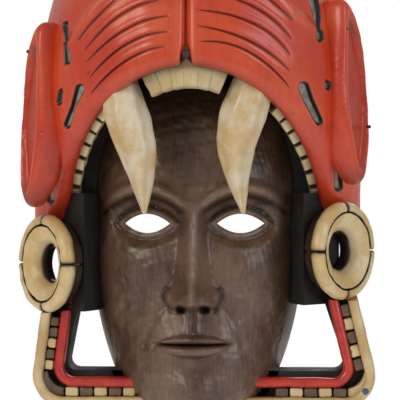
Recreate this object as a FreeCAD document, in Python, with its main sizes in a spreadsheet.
import FreeCAD, Part
import math
import os
import Sketcher
from FreeCAD import Placement, Rotation, Vector

# A carved and painted wooden mask: a human face looks out of a big cat's open mouth.
# Millimetres. +X is the viewer's right, +Z is up and -Y is the front, so the plane y = 0
# is the back rim that lies on the wall. The origin is the mouth of the hang hole.

DRIVING_SIZES = [
    # head shell: an egg-shaped dome, open at the back, cut by the mouth arch
    ("dome_centre", -190, "height of the dome's centre"),
    ("dome_half_wide", 121, "rim half width"),
    ("dome_rise", 219, "rim height above the centre"),
    ("dome_power", 2.5, "rim superellipse exponent"),
    ("arch_centre", -220, "height where the mouth arch's sides turn straight"),
    ("arch_half_wide", 91, "mouth arch half width"),
    ("arch_rise", 107, "mouth arch height above its straight sides"),
    ("arch_power", 1.95, "mouth arch superellipse exponent"),
    ("lip_side_depth", 68, "lip depth beside the centre"),
    ("muzzle_depth", 150, "lip depth at the muzzle"),
    ("dome_sweep", 106, "degrees from the crown to the shell's lower end"),
    ("shell_wall", 16, "wall at the sides"),
    ("crown_wall", 44, "wall at the crown"),
    ("lip_wall", 14, "wall at the lip"),
    ("hang_radius", 4, "hang hole radius"),
    ("hang_deep", 15, "hang hole depth"),
    # face
    ("face_wall", 12, "face shell wall"),
    ("face_half_wide", 82, "face half width at the brow"),
    ("face_top", -118, "top of the forehead"),
    ("face_tall", 246, "forehead top to chin"),
    ("face_deep", 79, "depth at the brow"),
    ("nose_deep", 101, "depth at the nose tip"),
    ("nose_half_wide", 18, "nose base half width"),
    ("eye_wide", 34, "eye opening width"),
    ("eye_tall", 14, "eye opening height"),
    ("eye_line", -222, "height of the eyes"),
    ("mouth_line", -309, "height of the lips' meeting line"),
    ("mouth_wide", 50, "mouth width"),
    # ears
    ("ear_half_wide", 21, "ear leaf half width"),
    ("ear_half_tall", 67, "ear leaf half height"),
    ("ear_thick", 15, "ear thickness"),
    ("ear_dish", 8, "dish depth"),
    ("ear_out", 113, "ear centre from the middle plane"),
    ("ear_deep", 76, "ear centre depth"),
    ("left_ear_height", -144, "left ear centre height"),
    ("right_ear_height", -128, "right ear centre height"),
    ("ear_turn", 60, "degrees the ears face outwards"),
    # teeth
    ("fang_out", 34, "fangs from the middle plane, before each one's own curve"),
    ("fang_deep", 116, "fang axis depth"),
    ("fang_radius", 18, "fang radius where it is thickest"),
    ("left_fang_top", -118, "left fang root height"),
    ("right_fang_top", -111, "right fang root height"),
    ("fang_tip", -215, "height of both fang tips"),
    ("front_tooth_step", 9.0, "degrees from tooth to tooth about the dome's centre"),
    ("side_tooth_step", 7.1, "degrees from side tooth to side tooth"),
    ("front_tooth_wide", 11.8, "front tooth width"),
    ("front_tooth_tall", 21, "front tooth height with its root"),
    ("side_tooth_long", 9.6, "side tooth length along the lip"),
    ("side_tooth_wide", 6, "side tooth width"),
    ("tooth_thick", 9, "tooth thickness"),
    ("front_tooth_shift", -2.9, "degrees from straight up to the middle of the front teeth"),
    ("first_side_tooth", 56, "degrees from straight up to the first side tooth"),
    ("front_tooth_bare", 15, "front tooth below the lip"),
    ("side_tooth_bare", 5, "side tooth inside the lip"),
    ("front_tooth_back", 12, "how far the front teeth stand behind the lip"),
    ("side_tooth_back", 4, "how far the side teeth stand behind the lip"),
    # ear spools
    ("spool_out", 113, "spool mouth centre from the middle plane"),
    ("spool_deep", 58, "spool mouth centre depth"),
    ("left_spool_height", -251.5, "left spool centre height"),
    ("right_spool_height", -242, "right spool centre height"),
    ("spool_turn", 53, "degrees the spools face outwards"),
    ("spool_ring_radius", 36, "largest radius of the ring"),
    ("spool_mouth_radius", 28, "radius of the dished mouth"),
    ("spool_hole_radius", 13, "radius of the hole"),
    ("spool_thick", 20, "spool thickness"),
    ("spool_dish", 9, "depth of the dished mouth"),
    # lower jaw
    ("jaw_wide", 26, "width of the jaw's bar, lip to inner edge"),
    ("jaw_back", 10, "depth where the jaw starts"),
    ("jaw_deep", 34, "thickness of the dark frame"),
    ("jaw_floor", -356.5, "lowest edge of the jaw"),
    ("jaw_left_top", 110, "left upright's outer edge at its top"),
    ("jaw_left_foot", 122, "left upright's outer edge at its foot"),
    ("jaw_right_top", 117, "right upright's outer edge at its top"),
    ("jaw_right_foot", 138, "right upright's outer edge at its foot"),
    ("jaw_head", -268, "height where the uprights start, before they are scribed"),
    ("jaw_corner", 22, "outer corner radius"),
    ("jaw_corner_ease", 38, "offset at which a corner would be sharp"),
    ("tile_pitch", 10.6, "tile teeth from middle to middle along the floor"),
    ("lip_wide", 7.5, "width of the cream lip"),
    ("tile_wide", 7, "width of the tile teeth"),
    ("gum_wide", 7.5, "width of the gum rail"),
    ("lip_proud", 15, "how far the lip stands in front of the frame"),
    ("tile_proud", 11, "how far the tiles stand in front of the frame"),
    ("gum_proud", 13, "how far the gum rail stands in front of the frame"),
    ("peg_radius", 2.6, "radius of the small blue peg in the jaw's corner"),
    # the cat's nose and eyes, set into the brow
    ("nose_pad_height", -40, "height of the cat's nose"),
    ("nose_pad_half_wide", 21, "half width of the cat's nose"),
    ("cat_eye_radius", 15, "radius of the cat's eyes"),
    ("cat_eye_out", 50, "cat's eyes from the middle plane"),
    ("cat_eye_height", -16, "height of the cat's eyes"),
    # palate board and cheek blocks
    ("lining_back", 22, "depth where the palate board starts"),
    ("lining_thick", 20, "palate board thickness"),
    ("block_head", -200, "top of the cheek blocks, under the palate board"),
    ("left_block_out", 100, "left cheek block's outer side"),
    ("right_block_out", 106, "right cheek block's outer side"),
    ("left_block_foot", -286, "left cheek block's lower end"),
    ("right_block_foot", -281, "right cheek block's lower end"),
    # joints
    ("dowel_radius", 3, "dowel radius"),
    ("dowel_long", 22, "dowel length"),
    ("nail_radius", 1.3, "ear brad head radius"),
]

document = FreeCAD.newDocument("cat_mask")
sheet = document.addObject("Spreadsheet::Sheet", "sizes")
for row, (alias, value, note) in enumerate(DRIVING_SIZES, start=1):
    sheet.set(f"A{row}", note)
    sheet.set(f"B{row}", str(value))
    sheet.setAlias(f"B{row}", alias)
document.recompute()

LEFT, RIGHT = -1, 1
SIDE_NAMES = {LEFT: "left", RIGHT: "right"}
FRONT = Vector(0, -1, 0)
nodes = []


def size(alias):
    """A driving size from the sheet."""
    return float(sheet.get(alias))


def keep(item, name):
    """Name a finished sub-part, which also names its file."""
    item.Label = name
    nodes.append(item)
    return item


def shape_object(name, shape):
    item = document.addObject("Part::Feature", name)
    item.Shape = shape
    return item


def trimmed(name, base, tools):
    """Scribe a piece to its neighbours: cut each tool object from it in turn."""
    for number, tool in enumerate(tools):
        cut = document.addObject("Part::Cut", f"{name}_cut{number}")
        cut.Base = base
        cut.Tool = tool
        base = cut
    document.recompute()
    return base


# --- sketch helpers ---------------------------------------------------------------------


def origin_plane(body, role):
    return [item for item in body.Origin.OriginFeatures if item.Role == role][0]


def new_body(name, several=False):
    body = document.addObject("PartDesign::Body", name)
    body.AllowCompound = several
    return body


def new_sketch(body, name, role, offset="0"):
    """A sketch on one of the body's own origin planes, moved along its normal."""
    sketch = body.newObject("Sketcher::SketchObject", name)
    sketch.AttachmentSupport = [(origin_plane(body, role), "")]
    sketch.MapMode = "FlatFace"
    sketch.setExpression("AttachmentOffset.Base.z", offset)
    return sketch


def draw_polygon(sketch, corners):
    """A closed outline whose corners are held by pairs of expressions."""
    count = len(corners)
    turn = 2 * math.pi / count
    seeds = [Vector(10 * math.cos(turn * i), 10 * math.sin(turn * i), 0) for i in range(count)]
    first = sketch.GeometryCount
    for i in range(count):
        sketch.addGeometry(Part.LineSegment(seeds[i], seeds[(i + 1) % count]), False)
    for i in range(count):
        follower = first + (i + 1) % count
        sketch.addConstraint(Sketcher.Constraint("Coincident", first + i, 2, follower, 1))
    for i, (across, up) in enumerate(corners):
        for kind, seed, text in (("DistanceX", seeds[i].x, across), ("DistanceY", seeds[i].y, up)):
            number = sketch.addConstraint(Sketcher.Constraint(kind, first + i, 1, seed))
            sketch.setExpression(f"Constraints[{number}]", text)


def draw_circle(sketch, across, up, radius):
    number = sketch.addGeometry(Part.Circle(Vector(1, 1, 0), Vector(0, 0, 1), 5), False)
    rules = (
        (Sketcher.Constraint("DistanceX", number, 3, 1.0), across),
        (Sketcher.Constraint("DistanceY", number, 3, 1.0), up),
        (Sketcher.Constraint("Radius", number, 5.0), radius),
    )
    for rule, text in rules:
        index = sketch.addConstraint(rule)
        sketch.setExpression(f"Constraints[{index}]", text)


def pad(body, sketch, length):
    feature = body.newObject("PartDesign::Pad", body.Name + "_pad")
    feature.Profile = sketch
    feature.setExpression("Length", length)
    document.recompute()
    return feature


def round_edges(body, base, chosen, radius):
    feature = body.newObject("PartDesign::Fillet", f"{body.Name}_round{len(body.Group)}")
    feature.Base = (base, chosen)
    feature.setExpression("Radius", radius)
    document.recompute()
    return feature


def edges_where(shape, test):
    return [f"Edge{i}" for i, edge in enumerate(shape.Edges, start=1) if test(edge)]


# --- head shell -------------------------------------------------------------------------


def rim_radius(angle):
    """Distance from the dome's centre to the rim, at an angle from straight up."""
    power = size("dome_power")
    across, up = abs(math.sin(angle)), max(0, math.cos(angle))
    total = (across / size("dome_half_wide")) ** power + (up / size("dome_rise")) ** power
    return total ** (-1 / power)


def lip_radius(angle):
    """Distance from the dome's centre to the mouth arch, found by halving the step."""
    power, drop = size("arch_power"), size("dome_centre") - size("arch_centre")
    radius, step = 0.0, 128.0
    while step > 1e-4:
        across = (radius + step) * abs(math.sin(angle)) / size("arch_half_wide")
        up = max(0, (radius + step) * math.cos(angle) + drop) / size("arch_rise")
        if across**power + up**power < 1:
            radius += step
        step /= 2
    return radius


def lip_depth(angle):
    side = size("lip_side_depth")
    return side + (size("muzzle_depth") - side) * math.cos(angle)


def rim_wall(angle):
    side = size("shell_wall")
    return side + (size("crown_wall") - side) * max(0, math.cos(angle)) ** 4


def dome_point(angle, radius, depth):
    """A point on the rib at this angle."""
    return Vector(
        radius * math.sin(angle), -depth, size("dome_centre") + radius * math.cos(angle)
    )


RIB_POWER = 2.2


def rib_depth(share):
    """Depth along a rib, 0 at the rim and 1 at the lip."""
    return (1 - (1 - share) ** RIB_POWER) ** (1 / RIB_POWER)


def rib_curve(angle, rim, lip, depth, steps=8):
    points = []
    for i in range(steps + 1):
        share = (i / steps) ** 1.6
        points.append(dome_point(angle, rim + (lip - rim) * share, depth * rib_depth(share)))
    curve = Part.BSplineCurve()
    curve.interpolate(points)
    return curve.toShape()


def rib_section(angle):
    """One closed section of the shell, a little longer behind than the finished back."""
    rim, lip, depth = rim_radius(angle), lip_radius(angle), lip_depth(angle)
    outer = rib_curve(angle, rim, lip, depth)
    inner_rim = rim - rim_wall(angle)
    inner = rib_curve(angle, inner_rim, lip + 1, depth - size("lip_wall"))
    start, end = dome_point(angle, rim, 0), dome_point(angle, lip, depth)
    inner_start = dome_point(angle, inner_rim, 0)
    inner_end = dome_point(angle, lip + 1, depth - size("lip_wall"))
    edge = Part.makeLine(end, inner_end)
    waste = Vector(0, 2, 0)
    back = Part.makePolygon([inner_start, inner_start + waste, start + waste, start])
    return Part.Wire([outer, edge, inner] + back.Edges)


def filled_section(angle):
    """The same section with the hollow behind it filled, for scribing what sits outside."""
    rim, lip, depth = rim_radius(angle), lip_radius(angle), lip_depth(angle)
    start, end = dome_point(angle, rim, 0), dome_point(angle, lip, depth)
    foot = dome_point(angle, lip, 0)
    outer = rib_curve(angle, rim, lip, depth)
    return Part.Wire([outer, Part.makeLine(end, foot), Part.makeLine(foot, start)])


def sawn_flat(solid):
    """Saw off what stands behind the back plane."""
    reach = 400
    return solid.cut(Part.makeBox(2 * reach, reach, 2 * reach, Vector(-reach, 0, -reach)))


def loft_ribs(section):
    half_sweep = math.radians(size("dome_sweep"))
    ribs = 16
    angles = [half_sweep * (2 * i / ribs - 1) for i in range(ribs + 1)]
    return Part.makeLoft([section(angle) for angle in angles], True, False)


# --- face -------------------------------------------------------------------------------

# Height share from forehead to chin, then width and depth as shares of the brow's.
FACE_LEVELS = [
    (0.00, 0.66, 0.74),
    (0.08, 0.83, 0.88),
    (0.20, 0.95, 0.96),
    (0.34, 1.00, 1.00),
    (0.44, 0.99, 0.95),
    (0.56, 0.97, 0.98),
    (0.68, 0.92, 1.00),
    (0.79, 0.84, 1.02),
    (0.89, 0.73, 1.04),
    (0.96, 0.60, 1.01),
    (1.00, 0.46, 0.93),
]
FACE_POWER = 2.3


def face_section(height, half_wide, deep):
    points = []
    steps = 12
    for i in range(steps + 1):
        angle = math.pi * i / steps
        across = math.copysign(abs(math.cos(angle)) ** (2 / FACE_POWER), math.cos(angle))
        forward = math.sin(angle) ** (2 / FACE_POWER) if 0 < i < steps else 0
        points.append(Vector(half_wide * across, -deep * forward, height))
    curve = Part.BSplineCurve()
    curve.interpolate(points)
    return Part.Wire([curve.toShape(), Part.makeLine(points[-1], points[0])])


def face_solid(inset):
    sections = []
    for share, wide, deep in FACE_LEVELS:
        height = size("face_top") - (size("face_tall") - 2 * inset) * share - inset
        sections.append(
            face_section(
                height,
                size("face_half_wide") * wide - inset,
                size("face_deep") * deep - inset,
            )
        )
    return Part.makeLoft(sections, True, False)


def nose():
    """A wedge that widens from the bridge to the base, with its underside level."""
    third = size("face_tall") / 3
    brow, base = size("face_top") - third, size("face_top") - 2 * third
    wires = []
    for height, half_wide, front in (
        (brow + 6, 5, size("face_deep") + 2),
        ((brow + base) / 2, 9, size("nose_deep") - 10),
        (base + 10, size("nose_half_wide"), size("nose_deep")),
        (base, size("nose_half_wide") - 2, size("nose_deep") - 8),
    ):
        inside = -size("face_deep") + 9
        corners = [
            Vector(-half_wide, inside, height),
            Vector(-half_wide * 0.25, -front, height),
            Vector(half_wide * 0.25, -front, height),
            Vector(half_wide, inside, height),
        ]
        wires.append(Part.makePolygon(corners + corners[:1]))
    return Part.makeLoft(wires, True, True)


def lips():
    """Upper and lower lip, each a flattened spindle."""
    rolls = []
    for height, thick in ((size("mouth_line") + 3.6, 4.2), (size("mouth_line") - 4.4, 5)):
        roll = Part.makeSphere(1)
        stretch = FreeCAD.Matrix()
        stretch.scale(size("mouth_wide") / 2, 6, thick)
        roll = roll.transformGeometry(stretch)
        roll.translate(Vector(0, -size("face_deep") * 1.0, height))
        rolls.append(roll)
    return rolls


def eye_opening(side):
    """An almond: two arcs that meet at the corners, run right through the shell."""
    centre = side * size("eye_wide")
    half_wide, half_tall = size("eye_wide") / 2, size("eye_tall") / 2
    line = size("eye_line")
    corners = [Vector(centre - half_wide, 0, line), Vector(centre + half_wide, 0, line)]
    upper = Part.Arc(corners[0], Vector(centre, 0, line + half_tall), corners[1])
    lower = Part.Arc(corners[1], Vector(centre, 0, line - half_tall), corners[0])
    almond = Part.Face(Part.Wire([upper.toShape(), lower.toShape()]))
    return almond.extrude(FRONT * 120)


def below(level, back):
    """Everything lower than a level, in front of the depth at which it starts."""
    wide, tall, deep = 400, 100, 200
    return Part.makeBox(wide, deep, tall, Vector(-wide / 2, -deep - back, level - tall))


def face_hollow():
    """The hollow behind the face and, under it, the notch where the jaw's bar passes."""
    jaw_top = size("jaw_floor") + size("jaw_wide")
    chin_block = below(jaw_top, size("jaw_back") + size("jaw_deep"))
    return face_solid(size("face_wall")).fuse(below(jaw_top, 0)).cut(chin_block)


# --- ears and spools --------------------------------------------------------------------


def side_placement(side, kind):
    """A frame on the head's side: its +Z is the way the piece faces, +Y is up and +X across."""
    turn = math.radians(size(f"{kind}_turn"))
    facing = Vector(side * math.sin(turn), -math.cos(turn), 0)
    upward = Vector(0, 0, 1)
    height = size(f"{SIDE_NAMES[side]}_{kind}_height")
    centre = Vector(side * size(f"{kind}_out"), -size(f"{kind}_deep"), height)
    return Placement(centre, Rotation(upward.cross(facing), upward, facing, "ZXY"))


def facing_of(side, kind):
    return side_placement(side, kind).Rotation.multVec(Vector(0, 0, 1))


def spool_envelope(side):
    """The round room that the spool fills, used to scribe its neighbours."""
    radius, thick = size("spool_ring_radius") + 0.2, size("spool_thick")
    room = Part.makeCylinder(radius, thick + 10.2, Vector(0, 0, -thick - 0.2))
    room.Placement = side_placement(side, "spool")
    return room


def spool_ring(side):
    """Four segments of a rounded ring with saw cuts between them."""
    name = f"{SIDE_NAMES[side]}_spool_ring"
    body = new_body(name + "_body", several=True)
    sketch = new_sketch(body, name + "_profile", "XZ_Plane")
    draw_polygon(
        sketch,
        [
            ("sizes.spool_mouth_radius", "-0.5"),
            ("sizes.spool_mouth_radius + 3", "0"),
            ("sizes.spool_ring_radius - 1.5", "-2"),
            ("sizes.spool_ring_radius", "-5.5"),
            ("sizes.spool_ring_radius - 1", "-9"),
            ("sizes.spool_ring_radius - 4", "-12"),
            ("sizes.spool_ring_radius - 6", "-sizes.spool_thick"),
            ("sizes.spool_mouth_radius - 3", "-sizes.spool_thick"),
            ("sizes.spool_mouth_radius", "-12"),
        ],
    )
    segment = body.newObject("PartDesign::Revolution", name + "_segment")
    segment.Profile = sketch
    segment.ReferenceAxis = (sketch, ["V_Axis"])
    segment.Angle = 88
    document.recompute()
    pattern = body.newObject("PartDesign::PolarPattern", name + "_pattern")
    pattern.Originals = [segment]
    pattern.Axis = (sketch, ["V_Axis"])
    pattern.Angle = 360
    pattern.Occurrences = 4
    body.Tip = pattern
    body.Placement = side_placement(side, "spool")
    return body


def spool_disc(side):
    """A dished disc with a hole, seated inside the ring."""
    name = f"{SIDE_NAMES[side]}_spool_disc"
    body = new_body(name + "_body")
    sketch = new_sketch(body, name + "_profile", "XZ_Plane")
    draw_polygon(
        sketch,
        [
            ("sizes.spool_mouth_radius", "-0.5"),
            ("sizes.spool_mouth_radius", "-12"),
            ("sizes.spool_mouth_radius - 3", "-sizes.spool_thick"),
            ("sizes.spool_hole_radius + 1", "-sizes.spool_thick"),
            ("sizes.spool_hole_radius", "-sizes.spool_dish"),
            ("sizes.spool_hole_radius + 3", "-sizes.spool_dish + 2.5"),
        ],
    )
    feature = body.newObject("PartDesign::Revolution", name + "_turned")
    feature.Profile = sketch
    feature.ReferenceAxis = (sketch, ["V_Axis"])
    feature.Angle = 360
    body.Placement = side_placement(side, "spool")
    return body


# fangs: share of the length, how much further out than fang_out, share of the radius
FANG_SECTIONS = {
    LEFT: [
        (0.00, 15, 0.60),
        (0.14, 13.5, 0.80),
        (0.30, 10, 0.95),
        (0.54, 3, 0.81),
        (0.76, -0.5, 0.49),
        (0.92, -1.5, 0.22),
        (1.00, -2, 0.05),
    ],
    RIGHT: [
        (0.00, 10, 0.60),
        (0.14, 8, 0.84),
        (0.30, 3.5, 1.00),
        (0.54, -2, 0.79),
        (0.76, -1, 0.47),
        (0.92, 2, 0.21),
        (1.00, 3.5, 0.05),
    ],
}


# --- dowels -----------------------------------------------------------------------------


def dowel(name, start, direction):
    """A round dowel that starts at a point and runs along a direction."""
    item = document.addObject("Part::Cylinder", name)
    item.setExpression("Radius", "sizes.dowel_radius")
    item.setExpression("Height", "sizes.dowel_long")
    item.Placement = Placement(start, Rotation(Vector(0, 0, 1), direction))
    return item


def dowel_group(name, places):
    """Equal dowels share one node."""
    pieces = []
    for number, (start, direction) in enumerate(places):
        pieces.append(dowel(f"{name}_{number}", start, direction))
    group = document.addObject("Part::Compound", name)
    group.Links = pieces
    document.recompute()
    return keep(group, name)


def dowels_on(kind, across, ups, back):
    """Dowels behind the ears or spools, which run the way those face."""
    places = []
    for side in (LEFT, RIGHT):
        for up in ups:
            start = side_placement(side, kind).multVec(Vector(side * across, up, -back))
            places.append((start, facing_of(side, kind)))
    return dowel_group(f"{kind}_dowels", places)


def fang_places():
    """Each fang's dowel enters its root from the lip behind it."""
    places = []
    for side in (LEFT, RIGHT):
        root = size(f"{SIDE_NAMES[side]}_fang_top") - 3
        out = size("fang_out") + FANG_SECTIONS[side][0][1]
        start = Vector(side * out, -size("fang_deep") + 8, root)
        places.append((start, FRONT))
    return places


def face_places():
    """Two dowels slope from the palate board into the brow, and two join chin and jaw."""
    places = []
    for side in (LEFT, RIGHT):
        brow = Vector(side * 74, -32, size("face_top") - 14)
        places.append((brow, Vector(-side * 0.8, 0, -0.6)))
        chin = Vector(side * 24, -34, size("jaw_floor") + 12)
        places.append((chin, FRONT))
    return places


def jaw_places():
    """One dowel on each side joins the jaw's upright and the cheek block."""
    places = []
    for side in (LEFT, RIGHT):
        height = size(f"{SIDE_NAMES[side]}_block_foot") + 8
        places.append((Vector(side * 108, -22, height), Vector(-side, 0, 0)))
    return places


# --- build ------------------------------------------------------------------------------

# the blanks that neighbours are scribed to
shell = sawn_flat(loft_ribs(rib_section))
shell_blank = shape_object("shell_blank", shell)
filled_shell = shape_object("filled_shell", loft_ribs(filled_section))
face_blank = shape_object("face_blank", face_solid(0))
spool_rooms = []
for side in (LEFT, RIGHT):
    spool_rooms.append(shape_object(f"{SIDE_NAMES[side]}_spool_room", spool_envelope(side)))

# dowels before the pieces, so that every piece they join is drilled for them
ear_dowels = dowels_on("ear", -17, (-14, 30), 16.5)
spool_dowels = dowels_on("spool", -6, (-19, 19), 34)
fang_dowels = dowel_group("fang_dowels", fang_places())
face_dowels = dowel_group("face_dowels", face_places())
jaw_dowels = dowel_group("jaw_dowels", jaw_places())

# head shell, with its hang hole
hang_hole = Part.makeCylinder(size("hang_radius"), size("hang_deep") + 1, Vector(0, 1, 0), FRONT)
headdress_blank = shape_object("headdress_blank", shell.cut(hang_hole))
headdress = trimmed("headdress", headdress_blank, [ear_dowels, fang_dowels] + spool_rooms)
keep(headdress, "headdress")

# face shell
face_shape = face_blank.Shape.cut(face_hollow()).fuse([nose()] + lips())
face_shape = face_shape.cut([eye_opening(LEFT), eye_opening(RIGHT)])
face_base = shape_object("face_base", face_shape)
keep(trimmed("face", face_base, [face_dowels]), "face")

# palate board: an arched plate between the head shell and the face
lining_body = new_body("lining_body")
lining_sketch = new_sketch(lining_body, "lining_outline", "XZ_Plane", "sizes.lining_back")
LINING_ARCH = [(107, -200), (105, -120), (95, -60), (70, -20), (30, -2)]
right_half = [(f"{across}", f"{up}") for across, up in LINING_ARCH]
left_half = [(f"-{across}", f"{up}") for across, up in reversed(LINING_ARCH)]
draw_polygon(lining_sketch, right_half + left_half)
pad(lining_body, lining_sketch, "sizes.lining_thick")
lining = trimmed("lining", lining_body, [shell_blank, face_blank, face_dowels])
keep(lining, "mouth_lining")

# ears
LEAF = [
    (-0.75, 1.00), (-0.35, 0.92), (0.15, 0.70), (0.55, 0.46), (0.84, 0.18), (1.00, -0.12),
    (0.97, -0.40), (0.86, -0.62), (0.68, -0.86), (0.45, -0.97), (0.16, -1.00),
    (-0.10, -0.92), (-0.38, -0.70), (-0.70, -0.42), (-0.93, -0.14), (-1.00, 0.15),
    (-1.00, 0.50), (-0.98, 0.80), (-0.92, 0.95),
]


def leaf_corners(side, shrink, shift):
    corners = []
    for across, up in LEAF:
        corners.append(
            (
                f"{side} * (sizes.ear_half_wide * {across * shrink} + {shift})",
                f"sizes.ear_half_tall * {up * shrink}",
            )
        )
    return corners


def ear(side):
    """A leaf-shaped flap with a dished front, scribed to the side of the head."""
    name = f"{SIDE_NAMES[side]}_ear"
    body = new_body(name + "_body")
    outline = new_sketch(body, name + "_outline", "XY_Plane", "-sizes.ear_thick / 2")
    draw_polygon(outline, leaf_corners(side, 1, 0))
    pad(body, outline, "sizes.ear_thick")
    dish = new_sketch(body, name + "_dish", "XY_Plane", "sizes.ear_thick / 2")
    draw_polygon(dish, leaf_corners(side, 0.74, 1))
    whole = body.Shape.Volume
    hollow = body.newObject("PartDesign::Pocket", name + "_hollow")
    hollow.Profile = dish
    hollow.setExpression("Length", "sizes.ear_dish")
    document.recompute()
    if body.Shape.Volume >= whole:
        raise RuntimeError("the ear's dish cuts nothing")
    body.Placement = side_placement(side, "ear")
    return keep(trimmed(name, body, [filled_shell, ear_dowels] + nails), name)


NAIL_PLACES = [(LEFT, 0.5, 46), (RIGHT, -18, 44), (RIGHT, 18, -24)]
nails = []
for number, (side, across, up) in enumerate(NAIL_PLACES):
    nail = document.addObject("Part::Cylinder", f"nail_{number}")
    nail.setExpression("Radius", "sizes.nail_radius")
    nail.setExpression("Height", "sizes.ear_thick * 0.45")
    start = side_placement(side, "ear").multVec(Vector(side * across, up, 1.25))
    nail.Placement = Placement(start, Rotation(Vector(0, 0, 1), facing_of(side, "ear")))
    nails.append(nail)
ear_nails = document.addObject("Part::Compound", "ear_nails")
ear_nails.Links = nails
document.recompute()
keep(ear_nails, "ear_nails")
for side in (LEFT, RIGHT):
    ear(side)


def fang(side):
    name = f"{SIDE_NAMES[side]}_fang"
    body = new_body(name + "_body")
    top = f"sizes.{SIDE_NAMES[side]}_fang_top"
    sections = []
    for number, (down, shift, thick) in enumerate(FANG_SECTIONS[side]):
        height = f"{top} + (sizes.fang_tip - {top}) * {down}"
        sketch = new_sketch(body, f"{name}_section{number}", "XY_Plane", height)
        out = f"{side} * (sizes.fang_out + {shift})"
        draw_circle(sketch, out, "-sizes.fang_deep", f"sizes.fang_radius * {thick}")
        sections.append(sketch)
    loft = body.newObject("PartDesign::AdditiveLoft", name + "_loft")
    loft.Profile = sections[0]
    loft.Sections = sections[1:]
    document.recompute()
    return keep(trimmed(name, body, [shell_blank, fang_dowels]), name)


fangs = [fang(side) for side in (LEFT, RIGHT)]


def lip_point(angle):
    return dome_point(angle, lip_radius(angle), lip_depth(angle))


# teeth set along the lip
def tooth(name, angle, bare, wide, tall, set_back):
    """A block that runs along the lip, with its own +Z towards the lip and +Y backwards."""
    item = document.addObject("Part::Box", name)
    item.setExpression("Length", wide)
    item.setExpression("Width", "sizes.tooth_thick")
    item.setExpression("Height", tall)
    across = (lip_point(angle + 0.02) - lip_point(angle - 0.02)).normalize()
    outward = across.cross(Vector(0, 1, 0)).normalize()
    backward = outward.cross(across)
    document.recompute()
    foot = lip_point(angle) - outward * bare + backward * set_back
    corner = foot - across * (float(item.Length) / 2)
    item.Placement = Placement(corner, Rotation(across, backward, outward, "ZXY"))
    return item


def tooth_row(name, teeth):
    row_of_teeth = document.addObject("Part::Compound", name + "_row")
    row_of_teeth.Links = teeth
    document.recompute()
    return keep(trimmed(name, row_of_teeth, [shell_blank] + fangs), name)


def front_tooth(number):
    turn = (number - (FRONT_TEETH - 1) / 2) * size("front_tooth_step") + size("front_tooth_shift")
    return tooth(
        f"front_tooth_{number}",
        math.radians(turn),
        size("front_tooth_bare"),
        "sizes.front_tooth_wide",
        "sizes.front_tooth_tall",
        size("front_tooth_back"),
    )


def side_tooth(side, number):
    turn = side * (size("first_side_tooth") + number * size("side_tooth_step"))
    return tooth(
        f"{SIDE_NAMES[side]}_side_tooth_{number}",
        math.radians(turn),
        size("side_tooth_bare"),
        "sizes.side_tooth_long",
        "sizes.side_tooth_wide",
        size("side_tooth_back"),
    )


FRONT_TEETH = 6
SIDE_TEETH = 8
tooth_row("front_teeth", [front_tooth(number) for number in range(FRONT_TEETH)])
side_rows = []
for side in (LEFT, RIGHT):
    row = [side_tooth(side, number) for number in range(SIDE_TEETH)]
    side_rows.append(tooth_row(f"{SIDE_NAMES[side]}_side_teeth", row))


# cheek blocks: wedges that carry the spools, the face and the jaw
def cheek_block(side):
    name = f"{SIDE_NAMES[side]}_cheek_block"
    body = new_body(name + "_body")
    foot = f"sizes.{SIDE_NAMES[side]}_block_foot"
    sketch = new_sketch(body, name + "_plan", "XY_Plane", foot)
    turn = math.radians(size("spool_turn"))
    seat_out = size("spool_out") - size("spool_thick") * math.sin(turn)
    seat_deep = size("spool_deep") - size("spool_thick") * math.cos(turn)
    outer = size(f"{SIDE_NAMES[side]}_block_out")
    seat_edge = seat_deep - (outer - seat_out) * math.tan(turn)
    front_out = seat_out - 29 * math.cos(turn)
    front_deep = seat_deep + 29 * math.sin(turn)
    plan = [(72, 6), (outer, 6), (outer, seat_edge), (front_out, front_deep), (70, 42)]
    draw_polygon(sketch, [(f"{side * across}", f"{-deep}") for across, deep in plan])
    pad(body, sketch, f"sizes.block_head - {foot}")
    tools = [shell_blank, face_blank, spool_dowels, jaw_dowels] + spool_rooms + side_rows
    return keep(trimmed(name, body, tools), name)


blocks = [cheek_block(side) for side in (LEFT, RIGHT)]

# ear spools
for side in (LEFT, RIGHT):
    ring_name, disc_name = f"{SIDE_NAMES[side]}_spool_ring", f"{SIDE_NAMES[side]}_spool_disc"
    keep(spool_ring(side), ring_name)
    keep(trimmed(disc_name, spool_disc(side), [spool_dowels]), disc_name)


# lower jaw: bands nested in a U, each set in from the outer edge by the widths before it
def offset_text(widths):
    return " + ".join(f"sizes.{alias}" for alias in widths) or "0"


def offset_value(widths):
    return sum(size(alias) for alias in widths)


def jaw_band(name, outer_widths, inner_widths, start, length):
    body = new_body(name + "_body", several=True)
    sketch = new_sketch(body, name + "_outline", "XZ_Plane", start)
    head, floor = "sizes.jaw_head", "sizes.jaw_floor"
    corners = []
    for widths in (outer_widths, inner_widths):
        offset = offset_text(widths)
        corners.append(
            [
                (f"-sizes.jaw_left_top + {offset}", head),
                (f"-sizes.jaw_left_foot + {offset}", f"{floor} + {offset}"),
                (f"sizes.jaw_right_foot - ({offset})", f"{floor} + {offset}"),
                (f"sizes.jaw_right_top - ({offset})", head),
            ]
        )
    draw_polygon(sketch, corners[0] + corners[1][::-1])
    pad(body, sketch, length)
    for widths in (outer_widths, inner_widths):
        level = size("jaw_floor") + offset_value(widths)

        def at_foot(edge):
            box = edge.BoundBox
            return box.YLength > 1 and abs(box.ZMin - level) + abs(box.ZMax - level) < 0.1

        chosen = edges_where(body.Shape, at_foot)
        radius = f"sizes.jaw_corner * (1 - ({offset_text(widths)}) / sizes.jaw_corner_ease)"
        round_edges(body, body.Tip, chosen, radius)
    return body


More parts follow.
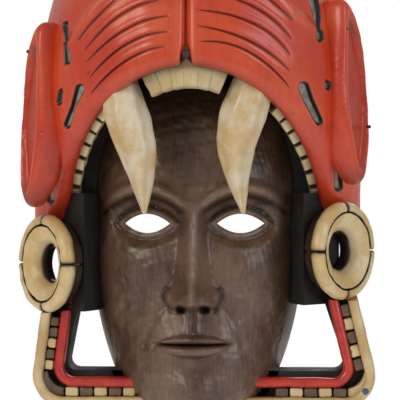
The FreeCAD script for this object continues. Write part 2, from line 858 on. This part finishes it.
JAW_FRONT = "sizes.jaw_back + sizes.jaw_deep"
frame_body = jaw_band("jaw_frame", [], ["jaw_wide"], "sizes.jaw_back", "sizes.jaw_deep")
frame_tools = spool_rooms + blocks + [jaw_dowels, face_dowels, spool_dowels]
keep(trimmed("jaw_frame", frame_body, frame_tools), "jaw_frame")

peg = document.addObject("Part::Cylinder", "peg")
peg.setExpression("Radius", "sizes.peg_radius")
peg.setExpression("Height", "sizes.lip_proud + 1")
peg_corner = Vector(
    size("jaw_right_foot") - 13.5,
    -size("jaw_back") - size("jaw_deep"),
    size("jaw_floor") + 12.5,
)
peg.Placement = Placement(peg_corner, Rotation(Vector(0, 0, 1), FRONT))
document.recompute()
keep(peg, "corner_peg")

band_tools = spool_rooms + blocks + [spool_dowels, face_blank]
lip_body = jaw_band("jaw_lip", [], ["lip_wide"], JAW_FRONT, "sizes.lip_proud")
jaw_lip = keep(trimmed("jaw_lip", lip_body, band_tools + [peg]), "jaw_lip")
to_gum = ["lip_wide", "tile_wide"]
gum_body = jaw_band("jaw_gum", to_gum, to_gum + ["gum_wide"], JAW_FRONT, "sizes.gum_proud")
jaw_gum = keep(trimmed("jaw_gum", gum_body, band_tools), "jaw_gum")


def tile(name, middle, along, long):
    """A tile tooth with its own +Z along the jaw."""
    item = document.addObject("Part::Box", name)
    item.setExpression("Length", "sizes.tile_wide - 0.4")
    item.setExpression("Width", "sizes.tile_proud")
    item.Height = long
    document.recompute()
    across = Vector(0, 1, 0).cross(along)
    corner = middle - across * (float(item.Length) / 2) - along * (long / 2)
    corner.y = -size("jaw_back") - size("jaw_deep") - size("tile_proud")
    item.Placement = Placement(corner, Rotation(across, Vector(0, 1, 0), along, "ZXY"))
    return item


UPRIGHT_TILES = 5
FLOOR_TILES = 5
tile_line = size("lip_wide") + size("tile_wide") / 2
tile_colours = {"cream": [], "brown": []}
for side in (LEFT, RIGHT):
    side_name = SIDE_NAMES[side]
    top, foot = size(f"jaw_{side_name}_top"), size(f"jaw_{side_name}_foot")
    rise = size("jaw_head") - size("jaw_floor")
    along = Vector(side * (top - foot), 0, rise).normalize()
    floor_line = size("jaw_floor") + tile_line
    first = size(f"{side_name}_spool_height") - size("spool_ring_radius") - 2.5
    bend = size("jaw_corner") * (1 - tile_line / size("jaw_corner_ease"))
    step = (first - floor_line - bend) / UPRIGHT_TILES
    places = []
    for i in range(UPRIGHT_TILES):
        height = first - (i + 0.5) * step
        out = foot + (top - foot) * (height - size("jaw_floor")) / rise - tile_line
        places.append((Vector(side * out, 0, height), along, step - 1.6))
    turn_out, turn_up = foot - tile_line - bend, floor_line + bend
    diagonal = math.sqrt(0.5)
    bend_middle = Vector(side * (turn_out + bend * diagonal), 0, turn_up - bend * diagonal)
    bend_along = Vector(side * diagonal, 0, diagonal)
    places.append((bend_middle, bend_along, bend * 1.15))
    floor_step = size("tile_pitch")
    for i in range(FLOOR_TILES):
        out = turn_out - (i + 0.5) * floor_step
        places.append((Vector(side * out, 0, floor_line), Vector(side, 0, 0), floor_step - 1.6))
    for i, (middle, direction, long) in enumerate(places):
        cream = i > 0 and (i % 2 == 0) == (side == LEFT)
        colour = "cream" if cream else "brown"
        tile_colours[colour].append(tile(f"{side_name}_tile_{i}", middle, direction, long))
tile_tools = spool_rooms + [face_blank, jaw_lip, jaw_gum, peg]
for colour, tiles in tile_colours.items():
    group = document.addObject("Part::Compound", f"{colour}_tiles")
    group.Links = tiles
    document.recompute()
    keep(trimmed(f"jaw_{colour}_teeth", group, tile_tools), f"jaw_{colour}_teeth")


# the cat's nose and eyes, seated in the brow
def surface_depth(across, up):
    """How far the shell's front stands before the back plane at a place seen from the front."""
    line = Part.makeLine(Vector(across, -400, up), Vector(across, 0, up))
    return -min(vertex.Point.y for vertex in line.common(shell).Vertexes)


nose_pad = document.addObject("Part::Ellipsoid", "nose_pad_blank")
nose_pad.setExpression("Radius1", "sizes.nose_pad_half_wide * 0.62")
nose_pad.setExpression("Radius2", "sizes.nose_pad_half_wide")
nose_pad.setExpression("Radius3", "sizes.nose_pad_half_wide * 0.5")
nose_depth = surface_depth(0, size("nose_pad_height"))
nose_pad.Placement.Base = Vector(0, -nose_depth + 1, size("nose_pad_height"))
document.recompute()
keep(trimmed("nose_pad", nose_pad, [filled_shell]), "nose_pad")
for side in (LEFT, RIGHT):
    out, height = side * size("cat_eye_out"), size("cat_eye_height")
    eye = document.addObject("Part::Sphere", f"{SIDE_NAMES[side]}_eye_ball")
    eye.setExpression("Radius", "sizes.cat_eye_radius")
    eye_depth = surface_depth(out, height) - size("cat_eye_radius") / 2
    eye.Placement.Base = Vector(out, -eye_depth, height)
    document.recompute()
    keep(trimmed(f"{SIDE_NAMES[side]}_eye", eye, [filled_shell]), f"{SIDE_NAMES[side]}_eye")


# --- check and write --------------------------------------------------------------------


def check_and_write():
    os.makedirs("parts", exist_ok=True)
    document.recompute()
    for item in document.Objects:
        if "Invalid" in item.State or "Error" in item.State:
            raise RuntimeError(f"{item.Name} failed: {item.State}")
    for item in nodes:
        if item.Shape.isNull() or not item.Shape.isValid():
            raise RuntimeError(f"{item.Label} has no valid shape")
    for item in nodes:
        item.Shape.exportStep(os.path.join("parts", item.Label + ".step"))
        box = item.Shape.BoundBox
        print(
            f"{item.Label:22s} solids {len(item.Shape.Solids)} volume {item.Shape.Volume:10.0f}"
            f" x {box.XMin:7.1f} {box.XMax:7.1f} y {box.YMin:7.1f} {box.YMax:7.1f}"
            f" z {box.ZMin:7.1f} {box.ZMax:7.1f}"
        )


check_and_write()
